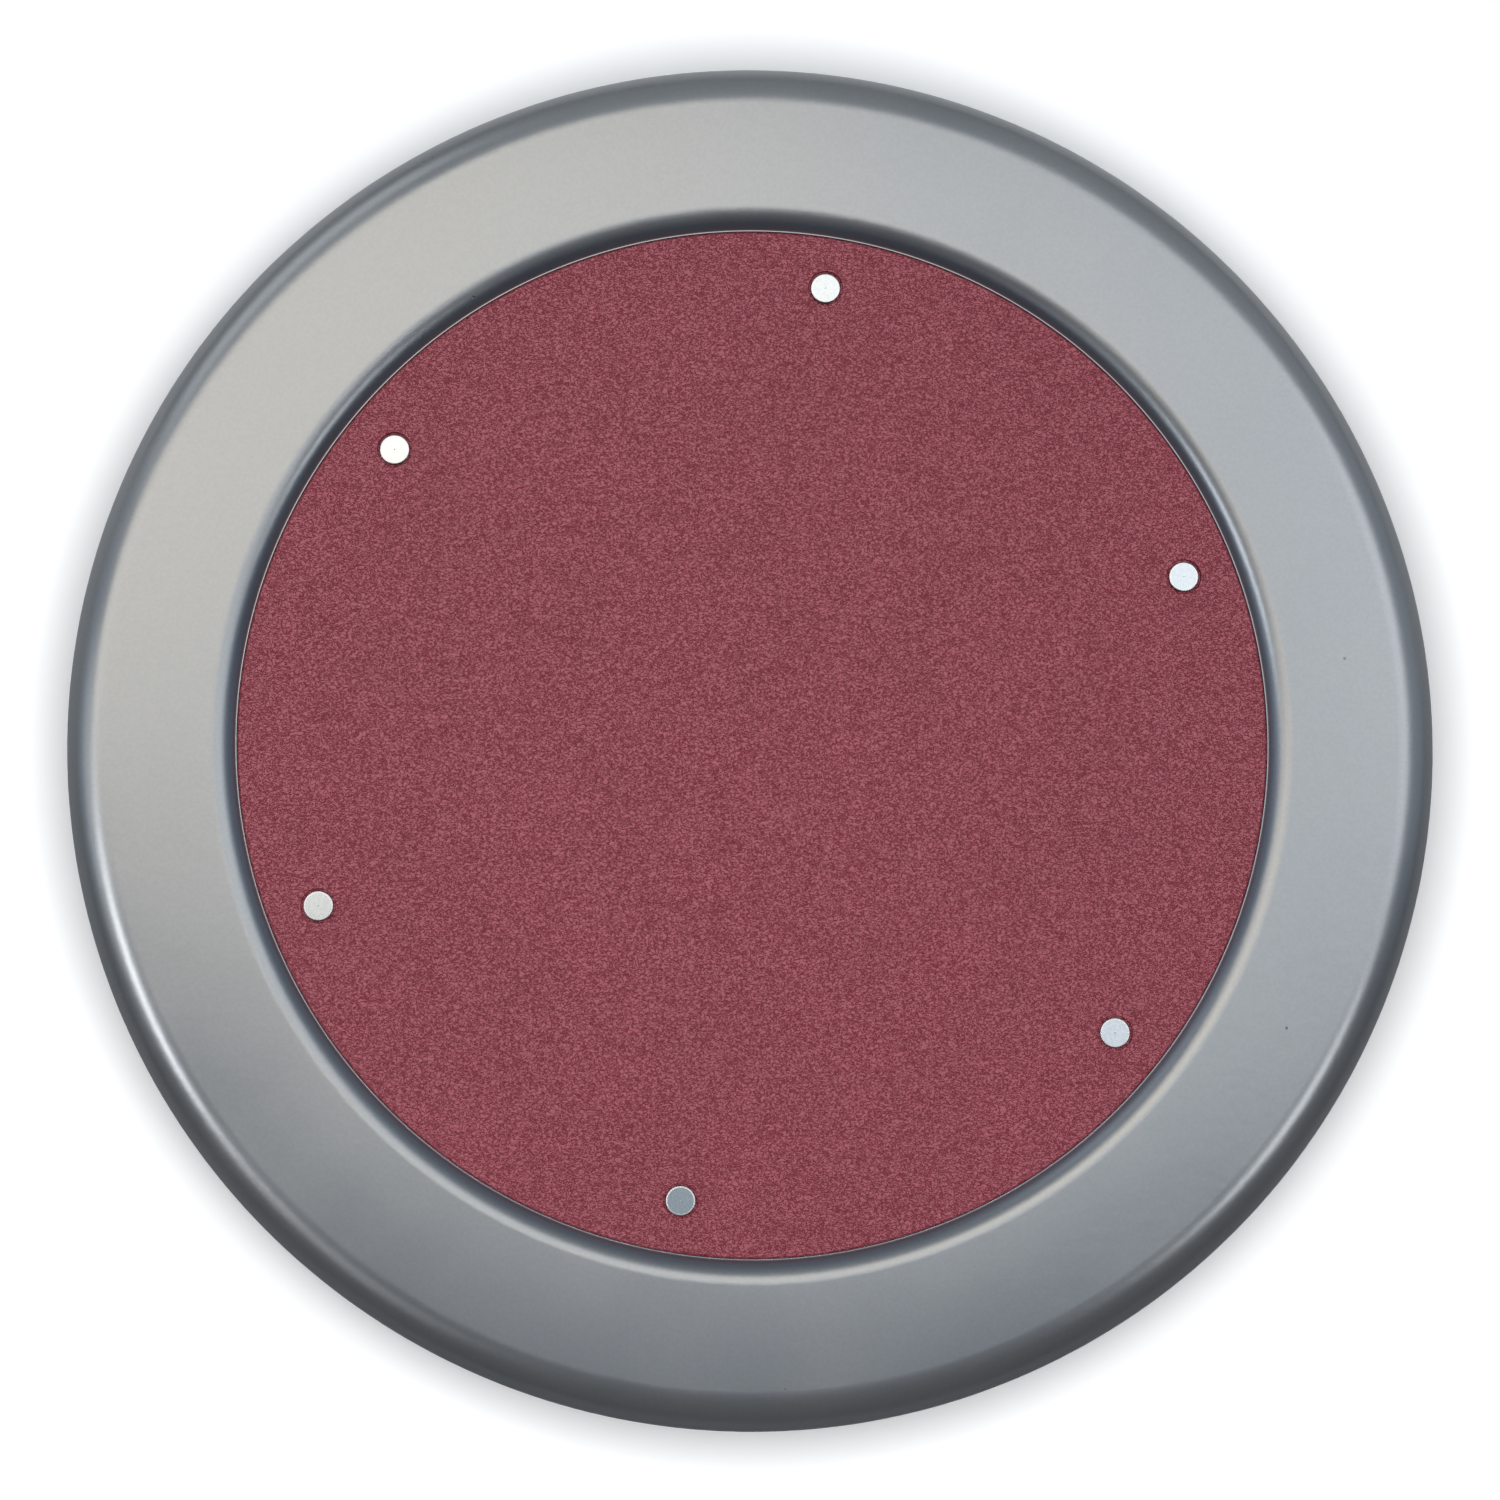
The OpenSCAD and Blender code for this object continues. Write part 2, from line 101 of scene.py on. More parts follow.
def new_material(name):
    """An empty node material, with its two node tools and its output node."""
    material = bpy.data.materials.new(name)
    material.use_nodes = True
    material.node_tree.nodes.clear()
    add, join = node_tools(material.node_tree)
    return material, add, join, add("ShaderNodeOutputMaterial")


def ramp(add, join, source, stops):
    """A colour ramp over source, from (position, colour or grey) stops."""
    node = add("ShaderNodeValToRGB")
    elements = node.color_ramp.elements
    while len(elements) < len(stops):
        elements.new(0.5)
    for element, (position, colour) in zip(elements, stops):
        element.position = position
        element.color = (*colour, 1) if isinstance(colour, tuple) else (colour, colour, colour, 1)
    join(source, node.inputs[0])
    return node


def share_between(add, join, value, low, high):
    """How far a value is from low to high, as an output from 0 to 1."""
    node = add("ShaderNodeMapRange")
    node.inputs["From Min"].default_value = low
    node.inputs["From Max"].default_value = high
    join(value, node.inputs["Value"])
    return node.outputs[0]


def drawn_object(name, points, edges=(), faces=()):
    """A new object from points and the edges or faces between them."""
    mesh = bpy.data.meshes.new(name)
    mesh.from_pydata(points, edges, faces)
    thing = bpy.data.objects.new(name, mesh)
    bpy.context.scene.collection.objects.link(thing)
    return thing


def soft_box(name, place, size, watts, colour, towards=None, in_gloss=True):
    """A rectangular area light at place that faces straight down, or towards a point.

    It shows as a reflection and lights nothing, or lights the deck and floor and shows nowhere.
    """
    data = bpy.data.lights.new(name, "AREA")
    data.shape = "RECTANGLE"
    data.size, data.size_y = size
    data.energy = watts
    data.color = colour
    light = bpy.data.objects.new(name, data)
    bpy.context.scene.collection.objects.link(light)
    light.location = place
    target = Vector(towards or (place[0], place[1], 0))
    light.rotation_mode = "QUATERNION"
    light.rotation_quaternion = (target - Vector(place)).to_track_quat("-Z", "Y")
    light.visible_glossy = in_gloss
    light.visible_diffuse = not in_gloss


HALF_FLOOR = 15.0
FLOOR_WHITE = (0.97, 0.97, 0.975, 1)
FLOOR_LIFT = 0.07
FLOOR_NEAR_TO_FAR = [
    (0.25, (0.10, 0.102, 0.108)), (0.5, (0.22, 0.225, 0.235)), (0.75, (0.46, 0.47, 0.48))]

floor = drawn_object("studio_floor", [
    (-HALF_FLOOR, -HALF_FLOOR, 0), (HALF_FLOOR, -HALF_FLOOR, 0),
    (HALF_FLOOR, HALF_FLOOR, 0), (-HALF_FLOOR, HALF_FLOOR, 0)], faces=[(0, 1, 2, 3)])
floor_material, add, join, output = new_material("pale_floor")
plain = add("ShaderNodeBsdfPrincipled")
plain.inputs["Base Color"].default_value = FLOOR_WHITE
plain.inputs["Roughness"].default_value = 1.0
plain.inputs["Specular IOR Level"].default_value = 0.0
plain.inputs["Emission Color"].default_value = (1, 1, 1, 1)
plain.inputs["Emission Strength"].default_value = FLOOR_LIFT
floor_place = add("ShaderNodeSeparateXYZ")
join(add("ShaderNodeTexCoord").outputs["Object"], floor_place.inputs[0])
floor_depth = share_between(add, join, floor_place.outputs["Y"], -1.0, 1.0)
dimmed = add("ShaderNodeBsdfDiffuse")
join(ramp(add, join, floor_depth, FLOOR_NEAR_TO_FAR).outputs["Color"], dimmed.inputs["Color"])
floor_mix = add("ShaderNodeMixShader")
join(add("ShaderNodeLightPath").outputs["Is Glossy Ray"], floor_mix.inputs[0])
join(plain.outputs[0], floor_mix.inputs[1])
join(dimmed.outputs[0], floor_mix.inputs[2])
join(floor_mix.outputs[0], output.inputs["Surface"])
floor.data.materials.append(floor_material)

WARM, COOL, CLEAR = (1.0, 0.885, 0.735), (0.99, 0.985, 0.98), (1.0, 1.0, 1.0)
OVERHEAD_WHITE = (1.0, 0.99, 0.975)
DECK_CENTRE = (0, 0, 0.15)
soft_box("overhead", (-0.068, -0.19, 2.33), (0.8, 0.8), 56, OVERHEAD_WHITE, in_gloss=False)
soft_box("far_left_card", (-1.35, 0.75, 2.75), (3.0, 1.50), 19.0, WARM)
soft_box("far_right_card", (1.40, 0.62, 2.75), (2.5, 1.80), 12.1, COOL)
soft_box("right_glow", (2.25, 0.55, 2.72), (2.0, 1.60), 3.8, COOL)
soft_box("left_card", (-3.1, -0.1, 1.9), (1.6, 1.5), 3.6, COOL, DECK_CENTRE)
soft_box("far_left_wall", (-2.4, 2.85, 1.75), (2.2, 1.6), 6.6, CLEAR, DECK_CENTRE)
soft_box("left_strip", (-1.95, -0.61, 2.11), (0.85, 0.60), 7.6, CLEAR, DECK_CENTRE)
soft_box("near_left_strip", (-1.50, -1.50, 2.15), (1.1, 1.1), 1.5, COOL, DECK_CENTRE)
soft_box("right_strip", (1.58, -0.85, 2.16), (0.62, 0.60), 3.5, CLEAR, DECK_CENTRE)

SURROUND_NEAR_TO_FAR = [
    (0.0, (0.046, 0.048, 0.055)), (0.315, (0.062, 0.067, 0.080)), (0.405, (0.088, 0.104, 0.130)),
    (0.44, (0.104, 0.135, 0.174)), (0.47, (0.158, 0.203, 0.258)), (0.50, (0.260, 0.308, 0.364)),
    (0.80, (0.27, 0.30, 0.33)), (1.0, (0.25, 0.27, 0.29))]
BACKDROP_WHITE = (0.93, 0.935, 0.94, 1)

world = bpy.data.worlds.new("studio")
bpy.context.scene.world = world
world.use_nodes = True
world.node_tree.nodes.clear()
add, join = node_tools(world.node_tree)
direction = add("ShaderNodeSeparateXYZ")
join(add("ShaderNodeTexCoord").outputs["Generated"], direction.inputs[0])
far_share = share_between(add, join, direction.outputs["Y"], -1.0, 1.0)
surround = add("ShaderNodeBackground")
join(ramp(add, join, far_share, SURROUND_NEAR_TO_FAR).outputs["Color"], surround.inputs["Color"])
backdrop = add("ShaderNodeBackground")
backdrop.inputs["Color"].default_value = BACKDROP_WHITE
world_mix = add("ShaderNodeMixShader")
join(add("ShaderNodeLightPath").outputs["Is Camera Ray"], world_mix.inputs[0])
join(surround.outputs[0], world_mix.inputs[1])
join(backdrop.outputs[0], world_mix.inputs[2])
join(world_mix.outputs[0], add("ShaderNodeOutputWorld").inputs["Surface"])

# ---------------------------------------------------------------- pedestal
# A round base plate with six ground-anchor holes, a turned bearing housing through its middle and
# six ribs between them. All are steel, arc-welded together and then hot-dip galvanised.


def stipple(add, join, scale, detail, roughness, coordinates):
    """A noise texture, in cycles per metre."""
    noise = add("ShaderNodeTexNoise")
    noise.inputs["Scale"].default_value = scale
    noise.inputs["Detail"].default_value = detail
    noise.inputs["Roughness"].default_value = roughness
    join(coordinates, noise.inputs["Vector"])
    return noise


def blended(add, join, blend, factor, first, second):
    """Two colours mixed, as a colour output."""
    node = add("ShaderNodeMix", data_type="RGBA", blend_type=blend)
    node.inputs["Factor"].default_value = factor
    join(first, node.inputs[6])
    join(second, node.inputs[7])
    return node.outputs[2]


def relief(add, join, height, strength, depth, under=None):
    """A bump from height, depth metres deep, over another bump if one is given."""
    node = add("ShaderNodeBump")
    node.inputs["Strength"].default_value = strength
    node.inputs["Distance"].default_value = depth
    join(height, node.inputs["Height"])
    if under is not None:
        join(under, node.inputs["Normal"])
    return node.outputs[0]


def new_finish(name, metallic):
    """A material with one shader: its node tools, the shader's inputs and the point shaded."""
    material, add, join, output = new_material(name)
    shader = add("ShaderNodeBsdfPrincipled")
    shader.inputs["Metallic"].default_value = metallic
    join(shader.outputs[0], output.inputs["Surface"])
    return material, add, join, shader.inputs, add("ShaderNodeTexCoord").outputs["Object"]


def hot_dip_zinc():
    """Galvanised steel: crystals of slightly different greys, dull patches and a cast grain."""
    material, add, join, surface, place = new_finish("hot_dip_zinc", 0.85)
    crystals = add("ShaderNodeTexVoronoi")
    crystals.inputs["Scale"].default_value = 95
    join(place, crystals.inputs["Vector"])
    lightness = add("ShaderNodeSeparateXYZ")
    join(crystals.outputs["Color"], lightness.inputs[0])
    spangle = ramp(add, join, lightness.outputs["X"],
                   [(0.0, (0.43, 0.45, 0.46)), (0.5, (0.52, 0.54, 0.55)),
                    (1.0, (0.62, 0.64, 0.65))])
    dull = stipple(add, join, 16, 5, 0.6, place)
    weathered = ramp(add, join, dull.outputs["Fac"], [(0.35, 0.82), (0.65, 1.0)])
    shine = ramp(add, join, lightness.outputs["Y"], [(0.0, 0.38), (1.0, 0.56)])
    cast = stipple(add, join, 420, 4, 0.6, place)
    lumps = stipple(add, join, 60, 2, 0.5, place)
    fine = relief(add, join, cast.outputs["Fac"], 0.25, 0.0004)
    join(blended(add, join, "MULTIPLY", 1.0, spangle.outputs[0], weathered.outputs[0]),
         surface["Base Color"])
    join(shine.outputs[0], surface["Roughness"])
    join(relief(add, join, lumps.outputs["Fac"], 0.2, 0.001, fine), surface["Normal"])
    return material


def finish_nodes(material, *names):
    """Gives nodes of the frame their material, in every slot."""
    for name in names:
        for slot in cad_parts[name].material_slots:
            slot.material = material


def set_inputs(modifier, **values):
    """Sets a Geometry Nodes modifier's inputs, named as in its tree with _ for a space."""
    for item in modifier.node_group.interface.items_tree:
        key = item.name.replace(" ", "_")
        if item.in_out == "INPUT" and key in values:
            modifier[item.identifier] = values[key]


def settled(thing, sharp_degrees=30):
    """Turns an object with live modifiers into a plain mesh, closed and facing outwards."""
    graph = bpy.context.evaluated_depsgraph_get()
    mesh = bpy.data.meshes.new_from_object(thing.evaluated_get(graph))
    thing.modifiers.clear()
    thing.data = mesh
    mesh.name = thing.name
    work = bmesh.new()
    work.from_mesh(mesh)
    bmesh.ops.remove_doubles(work, verts=work.verts, dist=1e-6)
    bmesh.ops.recalc_face_normals(work, faces=work.faces)
    limit = math.radians(sharp_degrees)
    for face in work.faces:
        face.smooth = True
    for edge in work.edges:
        edge.smooth = edge.is_manifold and edge.calc_face_angle(0) < limit
    work.to_mesh(mesh)
    work.free()
    return thing


def new_tree(name, inputs):
    """A Geometry Nodes tree with named inputs, and functions that add a node and join two."""
    tree = bpy.data.node_groups.new(name, "GeometryNodeTree")
    tree.interface.new_socket("Geometry", in_out="INPUT", socket_type="NodeSocketGeometry")
    for title, kind in inputs:
        tree.interface.new_socket(title, in_out="INPUT", socket_type="NodeSocket" + kind)
    tree.interface.new_socket("Geometry", in_out="OUTPUT", socket_type="NodeSocketGeometry")

    add, join = node_tools(tree)
    return tree, add, join, add("NodeGroupInput").outputs, add("NodeGroupOutput").inputs


RIPPLE_PITCH = 0.003
RIPPLE_SWELL = 0.07
RIPPLE_STEP = 0.25
WANDER_SIZE = 0.0016
WANDER_SCALE = 160
BEAD_SIDES = 8


def weld_tree():
    """Geometry Nodes that lay a rippled weld bead along the edges of the object."""
    tree, add, join, given, result = new_tree("weld_bead", [
        ("Bead Radius", "Float"), ("Ripple Pitch", "Float"), ("Material", "Material")])
    path = add("GeometryNodeMeshToCurve")
    samples = add("GeometryNodeResampleCurve", mode="LENGTH")
    quarter = add("ShaderNodeMath", operation="MULTIPLY")
    quarter.inputs[1].default_value = RIPPLE_STEP
    along = add("GeometryNodeSplineParameter")
    turns = add("ShaderNodeMath", operation="DIVIDE")
    whole = add("ShaderNodeMath", operation="MULTIPLY")
    whole.inputs[1].default_value = math.tau
    wave = add("ShaderNodeMath", operation="SINE")
    swell = add("ShaderNodeMath", operation="MULTIPLY_ADD")
    swell.inputs[1].default_value = RIPPLE_SWELL
    swell.inputs[2].default_value = 1.0
    profile = add("GeometryNodeCurvePrimitiveCircle")
    profile.inputs["Resolution"].default_value = BEAD_SIDES
    bead = add("GeometryNodeCurveToMesh")
    bead.inputs["Fill Caps"].default_value = True
    wander = add("ShaderNodeTexNoise")
    wander.inputs["Scale"].default_value = WANDER_SCALE
    centred = add("ShaderNodeVectorMath", operation="SUBTRACT")
    centred.inputs[1].default_value = (0.5, 0.5, 0.5)
    small = add("ShaderNodeVectorMath", operation="SCALE")
    small.inputs["Scale"].default_value = WANDER_SIZE
    uneven = add("GeometryNodeSetPosition")
    paint = add("GeometryNodeSetMaterial")
    join(given["Geometry"], path.inputs[0])
    join(given["Ripple Pitch"], quarter.inputs[0])
    join(path.outputs[0], samples.inputs["Curve"])
    join(quarter.outputs[0], samples.inputs["Length"])
    join(along.outputs["Length"], turns.inputs[0])
    join(given["Ripple Pitch"], turns.inputs[1])
    join(turns.outputs[0], whole.inputs[0])
    join(whole.outputs[0], wave.inputs[0])
    join(wave.outputs[0], swell.inputs[0])
    join(given["Bead Radius"], profile.inputs["Radius"])
    join(samples.outputs[0], bead.inputs["Curve"])
    join(profile.outputs[0], bead.inputs["Profile Curve"])
    join(swell.outputs[0], bead.inputs["Scale"])
    join(wander.outputs["Color"], centred.inputs[0])
    join(centred.outputs[0], small.inputs[0])
    join(bead.outputs[0], uneven.inputs["Geometry"])
    join(small.outputs[0], uneven.inputs["Offset"])
    join(uneven.outputs[0], paint.inputs["Geometry"])
    join(given["Material"], paint.inputs["Material"])
    join(paint.outputs[0], result["Geometry"])
    return tree


WELD = weld_tree()


def welded(name, seams, bead_radius, material, body):
    """Weld beads along seams, each a list of points, that ride on a body."""
    points, edges = [], []
    for seam in seams:
        edges += [(len(points) + step, len(points) + step + 1) for step in range(len(seam) - 1)]
        points += seam
    beads = drawn_object(name, points, edges)
    modifier = beads.modifiers.new("weld", "NODES")
    modifier.node_group = WELD
    set_inputs(modifier, Bead_Radius=bead_radius, Ripple_Pitch=RIPPLE_PITCH, Material=material)
    settled(beads, 60)
    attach(beads, body)


def polar(radius, degrees, height, aside=0.0):
    """A point at a radius and turn round the deck's axis, moved aside across that radius."""
    angle = math.radians(degrees)
    return (radius * math.cos(angle) - aside * math.sin(angle),
            radius * math.sin(angle) + aside * math.cos(angle), height)


RIB_COUNT = 6
RIB_THICKNESS = 0.008
RIB_CLIP = 0.008
RIB_WELD_STOP = 0.002
PEDESTAL_BEAD = 0.0032

galvanised = hot_dip_zinc()
finish_nodes(galvanised, "base_plate", "bearing_housing", "housing_ribs")
rib_low, rib_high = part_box("housing_ribs")
housing_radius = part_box("bearing_housing")[1].x
plate_top = rib_low.z
rib_side = RIB_THICKNESS / 2
seams = [[polar(housing_radius, degrees, plate_top) for degrees in range(0, 361, 5)]]
for rib in range(RIB_COUNT):
    turn = rib * 360 / RIB_COUNT
    for side in (-rib_side, rib_side):
        seams.append([polar(housing_radius + RIB_CLIP, turn, plate_top, side),
                      polar(rib_high.x, turn, plate_top, side)])
        seams.append([polar(housing_radius, turn, plate_top + RIB_CLIP, side),
                      polar(housing_radius, turn, rib_high.z - RIB_WELD_STOP, side)])
welded("pedestal_welds", seams, PEDESTAL_BEAD, galvanised, "base")

# ---------------------------------------------------------------- bearings
# Two sealed deep-groove ball bearings: ground steel races and balls, moulded amber cages, black
# rubber seals, and phosphated snap rings and end cover that keep them in the housing.


def plain_finish(name, metallic, tones, gloss, patches, grain, depth, stretch=(1, 1, 1)):
    """A plain metal, rubber or plastic finish: cloudy tones, uneven gloss and a fine grain."""
    material, add, join, surface, place = new_finish(name, metallic)
    drawn = add("ShaderNodeMapping")
    drawn.inputs["Scale"].default_value = stretch
    join(place, drawn.inputs["Vector"])
    clouds = stipple(add, join, patches, 5, 0.6, drawn.outputs[0])
    tone = ramp(add, join, clouds.outputs["Fac"], [(0.32, tones[0]), (0.68, tones[1])])
    shine = ramp(add, join, clouds.outputs["Fac"], [(0.30, gloss[1]), (0.70, gloss[0])])
    fine = stipple(add, join, grain, 3, 0.6, drawn.outputs[0])
    join(tone.outputs[0], surface["Base Color"])
    join(shine.outputs[0], surface["Roughness"])
    join(relief(add, join, fine.outputs["Fac"], 0.35, depth), surface["Normal"])
    return material


ground_steel = plain_finish(
    "ground_bearing_steel", metallic=1.0, tones=((0.60, 0.61, 0.62), (0.70, 0.71, 0.72)),
    gloss=(0.10, 0.18), patches=70, grain=3000, depth=0.00004)
phosphated = plain_finish(
    "phosphated_steel", metallic=0.55, tones=((0.055, 0.057, 0.060), (0.095, 0.097, 0.10)),
    gloss=(0.45, 0.62), patches=90, grain=1500, depth=0.0002)
cage_amber = plain_finish(
    "cage_polyamide", metallic=0.0, tones=((0.60, 0.36, 0.10), (0.70, 0.44, 0.14)),
    gloss=(0.34, 0.46), patches=120, grain=1300, depth=0.0001)
seal_rubber = plain_finish(
    "nitrile_rubber", metallic=0.0, tones=((0.016, 0.016, 0.017), (0.030, 0.030, 0.032)),
    gloss=(0.58, 0.74), patches=80, grain=1800, depth=0.0002)
finish_nodes(ground_steel, "upper_outer_race", "upper_inner_race", "upper_balls",
             "lower_outer_race", "lower_inner_race", "lower_balls", "shaft_seal_spring")
finish_nodes(cage_amber, "upper_cage", "lower_cage")
finish_nodes(seal_rubber, "upper_bearing_seals", "lower_bearing_seals", "shaft_seal", "centre_pad")
finish_nodes(phosphated, "upper_retaining_ring", "lower_retaining_ring", "housing_end_cover",
             "lock_tab_washer", "spindle_lock_nut")

# ---------------------------------------------------------------- spindle
# One flanged steel spindle, turned all over, with a turned spacer between the inner races. A
# slotted nut and its tab washer clamp the races from below.


def turned_steel():
    """Machined steel: fine rings from the tool round the axis, and a film of oil."""
    material, add, join, surface, place = new_finish("turned_steel", 1.0)
    rings = add("ShaderNodeTexWave", wave_type="RINGS", rings_direction="Z")
    rings.inputs["Scale"].default_value = 520
    rings.inputs["Distortion"].default_value = 0.6
    join(place, rings.inputs["Vector"])
    feed = add("ShaderNodeTexWave", wave_type="BANDS", bands_direction="Z")
    feed.inputs["Scale"].default_value = 520
    join(place, feed.inputs["Vector"])
    marks = blended(add, join, "MULTIPLY", 0.5, rings.outputs["Color"], feed.outputs["Color"])
    oil = stipple(add, join, 40, 4, 0.55, place)
    tone = ramp(add, join, oil.outputs["Fac"],
                [(0.3, (0.46, 0.465, 0.47)), (0.7, (0.57, 0.575, 0.58))])
    shine = ramp(add, join, oil.outputs["Fac"], [(0.3, 0.34), (0.7, 0.22)])
    join(tone.outputs[0], surface["Base Color"])
    join(shine.outputs[0], surface["Roughness"])
    join(relief(add, join, marks, 0.3, 0.00006), surface["Normal"])
    return material


finish_nodes(turned_steel(), "spindle", "bearing_spacer")

# ---------------------------------------------------------------- carrier
# A hub plate, six box-section arms and an outer ring, welded and galvanised as one frame. It is
# bolted to the spindle's flange, and a rubber pad on it carries the middle of the tread.

ARM_COUNT = 6
ARM_TURN = 51
ARM_WIDTH = 0.040
ARM_START = 0.095
ARM_WELD_INSET = 0.002
HUB_WELD_INSET = 0.003
HUB_WELD_TURNS = (-7.5, -3, 0, 3, 7.5)
RING_WELD_TURNS = (-4, -2, 0, 2, 4)
CROSS_WELD_LIFT = 0.0005
CARRIER_BEAD = 0.0024
RING_INSIDE = 0.2465
RING_OUTSIDE = 0.2985

finish_nodes(galvanised, "hub_plate", "carrier_arms", "carrier_ring")
zinc_plate = plain_finish(
    "zinc_plate", metallic=1.0, tones=((0.56, 0.58, 0.60), (0.68, 0.70, 0.71)),
    gloss=(0.24, 0.38), patches=150, grain=2600, depth=0.0001)
finish_nodes(zinc_plate, "hub_bolts", "hub_washers")
arm_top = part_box("carrier_arms")[1].z
hub_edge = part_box("hub_plate")[1].x
arm_side = ARM_WIDTH / 2
seams = []
for arm in range(ARM_COUNT):
    turn = ARM_TURN + arm * 360 / ARM_COUNT
    for side in (-arm_side, arm_side):
        seams.append([polar(ARM_START + ARM_WELD_INSET, turn, arm_top, side),
                      polar(hub_edge - HUB_WELD_INSET, turn, arm_top, side)])
        seams.append([polar(RING_INSIDE, turn, arm_top, side),
                      polar(RING_OUTSIDE, turn, arm_top, side)])
    for radius, leans in ((hub_edge, HUB_WELD_TURNS), (RING_INSIDE, RING_WELD_TURNS)):
        seams.append([polar(radius, turn + lean, arm_top + CROSS_WELD_LIFT) for lean in leans])
welded("carrier_welds", seams, CARRIER_BEAD, galvanised, "deck")

# ---------------------------------------------------------------- rim ring
# One hollow moulding in grey plastic with a metallic pigment: a rounded bar round the deck, with
# a flange inside it that the tread lies on. It is turned here from its outline, so that the long
# soft reflections run round it without a facet, and drilled for its sleeves, inserts and vents.

RIM_ROUND = 0.025
LIP_ROUND = 0.0178
LIP_TURN = 56.25
LIP_SHOULDER = 0.0006
LIP_EDGE = 0.0001
LIP_SHADE_WIDTH = 0.0105
TREAD_GAP = 0.0002
RIM_WALL = 0.006
FLANGE_WIDTH = 0.052
FOOT_STEP = 0.004
INSERT_ROOF = 0.0032
COVER_SEAT_DEPTH = 0.003
COVER_CLEARANCE = 0.0005
HOLLOW_TOP_CORNER = 0.006
HOLLOW_FOOT_GAP = 0.006
HOLLOW_FOOT_CORNER = 0.004
PARTING_DEPTH = 0.0004
PARTING_HALF_WIDTH = 0.0009
EDGE_BREAK = 0.0008
ROUND_STEPS = 16
RIM_SEGMENTS = 288
DRILL_SEGMENTS = 40
DRILL_OVERRUN = 0.001
INSERT_OVERRUN = 0.0002

BOLT_COUNT, BOLT_CIRCLE, BOLT_TURN = 6, 0.270, 21
SLEEVE_HOLE = 0.0141
INSERT_COUNT, INSERT_CIRCLE, INSERT_TURN, INSERT_HOLE = 12, 0.3165, 15, 0.0091
VENT_COUNT, VENT_CIRCLE, VENT_TURN, VENT_HOLE = 3, 0.356, 30, 0.012


def turned_tree():
    """Geometry Nodes that turn the object's outline, drawn in X and Y, round the Z axis.

    The outline is swept 1 m out from the axis, and every point is then drawn back in by 1 m.
    """
    tree, add, join, given, result = new_tree("turned", [
        ("Segments", "Int"), ("Material", "Material")])
    outline = add("GeometryNodeMeshToCurve")
    circle = add("GeometryNodeCurvePrimitiveCircle")
    circle.inputs["Radius"].default_value = 1.0
    sweep = add("GeometryNodeCurveToMesh")
    closer = add("GeometryNodeSetPosition")
    place = add("GeometryNodeInputPosition")
    level = add("ShaderNodeVectorMath", operation="MULTIPLY")
    level.inputs[1].default_value = (1, 1, 0)
    outward = add("ShaderNodeVectorMath", operation="NORMALIZE")
    shift = add("ShaderNodeVectorMath", operation="SCALE")
    shift.inputs["Scale"].default_value = -1.0
    paint = add("GeometryNodeSetMaterial")
    join(given["Geometry"], outline.inputs[0])
    join(given["Segments"], circle.inputs["Resolution"])
    join(circle.outputs[0], sweep.inputs["Curve"])
    join(outline.outputs[0], sweep.inputs["Profile Curve"])
    join(sweep.outputs[0], closer.inputs["Geometry"])
    join(place.outputs[0], level.inputs[0])
    join(level.outputs[0], outward.inputs[0])
    join(outward.outputs[0], shift.inputs[0])
    join(shift.outputs[0], closer.inputs["Offset"])
    join(closer.outputs[0], paint.inputs["Geometry"])
    join(given["Material"], paint.inputs["Material"])
    join(paint.outputs[0], result["Geometry"])
    return tree


def ring_tree():
    """Geometry Nodes that set copies of the object round a circle, each with its own place."""
    tree, add, join, given, result = new_tree("set_round", [
        ("Count", "Int"), ("Circle Radius", "Float"), ("Turn", "Float"), ("Material", "Material")])
    own = add("GeometryNodeStoreNamedAttribute", data_type="FLOAT_VECTOR", domain="POINT")
    own.inputs["Name"].default_value = "own_place"
    place = add("GeometryNodeInputPosition")
    circle = add("GeometryNodeMeshCircle")
    copies = add("GeometryNodeInstanceOnPoints")
    number = add("GeometryNodeInputIndex")
    step = add("ShaderNodeMath", operation="DIVIDE")
    step.inputs[0].default_value = math.tau
    share = add("ShaderNodeMath", operation="MULTIPLY")
    upright = add("ShaderNodeCombineXYZ")
    chance = add("FunctionNodeRandomValue", data_type="FLOAT")
    chance.inputs["Seed"].default_value = 7
    cast = add("GeometryNodeStoreNamedAttribute", data_type="FLOAT", domain="INSTANCE")
    cast.inputs["Name"].default_value = "own_shade"
    turner = add("ShaderNodeCombineXYZ")
    whole = add("GeometryNodeTransform")
    real = add("GeometryNodeRealizeInstances")
    paint = add("GeometryNodeSetMaterial")
    join(given["Geometry"], own.inputs["Geometry"])
    join(place.outputs[0], own.inputs["Value"])
    join(given["Count"], circle.inputs["Vertices"])
    join(given["Circle Radius"], circle.inputs["Radius"])
    join(circle.outputs[0], copies.inputs["Points"])
    join(own.outputs[0], copies.inputs["Instance"])
    join(given["Count"], step.inputs[1])
    join(number.outputs[0], share.inputs[0])
    join(step.outputs[0], share.inputs[1])
    join(share.outputs[0], upright.inputs["Z"])
    join(upright.outputs[0], copies.inputs["Rotation"])
    join(copies.outputs[0], cast.inputs["Geometry"])
    join(next(s for s in chance.outputs if s.enabled), cast.inputs["Value"])
    join(given["Turn"], turner.inputs["Z"])
    join(cast.outputs[0], whole.inputs["Geometry"])
    join(turner.outputs[0], whole.inputs["Rotation"])
    join(whole.outputs[0], real.inputs[0])
    join(real.outputs[0], paint.inputs["Geometry"])
    join(given["Material"], paint.inputs["Material"])
    join(paint.outputs[0], result["Geometry"])
    return tree


